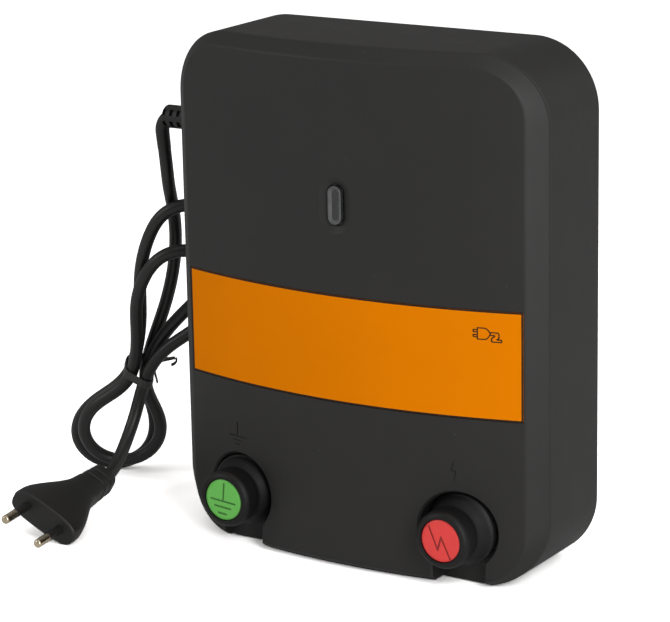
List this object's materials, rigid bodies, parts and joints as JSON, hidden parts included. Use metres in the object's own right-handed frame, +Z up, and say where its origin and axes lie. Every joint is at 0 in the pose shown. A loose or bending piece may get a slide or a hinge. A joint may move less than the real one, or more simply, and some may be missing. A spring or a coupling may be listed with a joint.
{
  "type": "fence energizer",
  "caption": "Mains electric fence energizer: upright grey case with bowed front and orange band, green earth and red fence screw terminals, hanked lead with a flat plug.",
  "frame": {"origin": "under the middle of the case, on the surface that it stands on", "axes": "+X to the right seen from the front, +Y towards the back, +Z up"},
  "size_m": [0.2792, 0.1332, 0.23],
  "materials": {
    "case": "fine spark-eroded texture",
    "knob": "satin",
    "cord": "smooth, satin",
    "tie": "satin",
    "label": "printed sheet, satin",
    "earth_disc": "satin",
    "fence_disc": "satin",
    "lens": "clear moulded plastic",
    "led": "clear coloured",
    "zinc": "zinc plated",
    "brass": "nickel plated",
    "board": "solder mask",
    "can": "sleeved can",
    "core": "varnished laminations",
    "winding": "taped",
    "sink": "extruded",
    "chip": "moulded",
    "filter": "moulded box",
    "block": "moulded",
    "lead_red": "insulated wire",
    "lead_green": "insulated wire"
  },
  "bodies": {
    "housing": {"board_screw_1": "zinc", "board_screw_2": "zinc", "board_screw_3": "zinc", "board_screw_4": "zinc", "case_screw_1": "zinc", "case_screw_2": "zinc", "case_screw_3": "zinc", "case_screw_4": "zinc", "charging_transformer": "winding", "circuit_board": "board", "clamp_screw_1": "zinc", "clamp_screw_2": "zinc", "cord_from_case": "cord", "cord_gland": "cord", "cord_hank": "cord", "cord_tie": "tie", "cord_to_plug": "cord", "earth_contact": "brass", "earth_lead": "lead_green", "earth_nut": "zinc", "earth_stud": "zinc", "fence_contact": "brass", "fence_lead": "lead_red", "fence_nut": "zinc", "fence_stud": "zinc", "filter_capacitor": "filter", "front_cover": "case", "front_label": "label", "heat_sink": "sink", "indicator_led": "led", "led_lens": "lens", "mains_fuse": "zinc", "mains_lead": "cord", "mains_terminal_block": "block", "output_transformer_core": "core", "output_transformer_winding": "winding", "plug_body": "cord", "plug_pin_1": "brass", "plug_pin_2": "brass", "primary_lead_1": "lead_red", "primary_lead_2": "lead_red", "rear_case": "case", "storage_capacitor_1": "can", "storage_capacitor_2": "can", "thyristor": "chip", "transformer_clamp": "zinc"},
    "earth_grip": {"earth_knob": "knob", "earth_disc": "earth_disc"},
    "earth_clamp": {"earth_washer": "zinc"},
    "fence_grip": {"fence_knob": "knob", "fence_disc": "fence_disc"},
    "fence_clamp": {"fence_washer": "zinc"}
  },
  "joints": [
    {"name": "earth_washer_slide", "type": "slide", "parent": "housing", "child": "earth_clamp", "axis": [0, -1, 0], "range_m": [0, 0.0041]},
    {"name": "earth_knob_turn", "type": "hinge", "parent": "earth_clamp", "child": "earth_grip", "pos_m": [-0.0554, -0.0277, 0.0252], "axis": [0, -1, 0], "range_deg": [0, 1440]},
    {"name": "fence_washer_slide", "type": "slide", "parent": "housing", "child": "fence_clamp", "axis": [0, -1, 0], "range_m": [0, 0.0041]},
    {"name": "fence_knob_turn", "type": "hinge", "parent": "fence_clamp", "child": "fence_grip", "pos_m": [0.0554, -0.0277, 0.0252], "axis": [0, -1, 0], "range_deg": [0, 1440]}
  ],
  "couplings": [
    {"joint": "earth_washer_slide", "follows": "earth_knob_turn", "m_per_rad": 0.00015915},
    {"joint": "fence_washer_slide", "follows": "fence_knob_turn", "m_per_rad": 0.00015915}
  ]
}
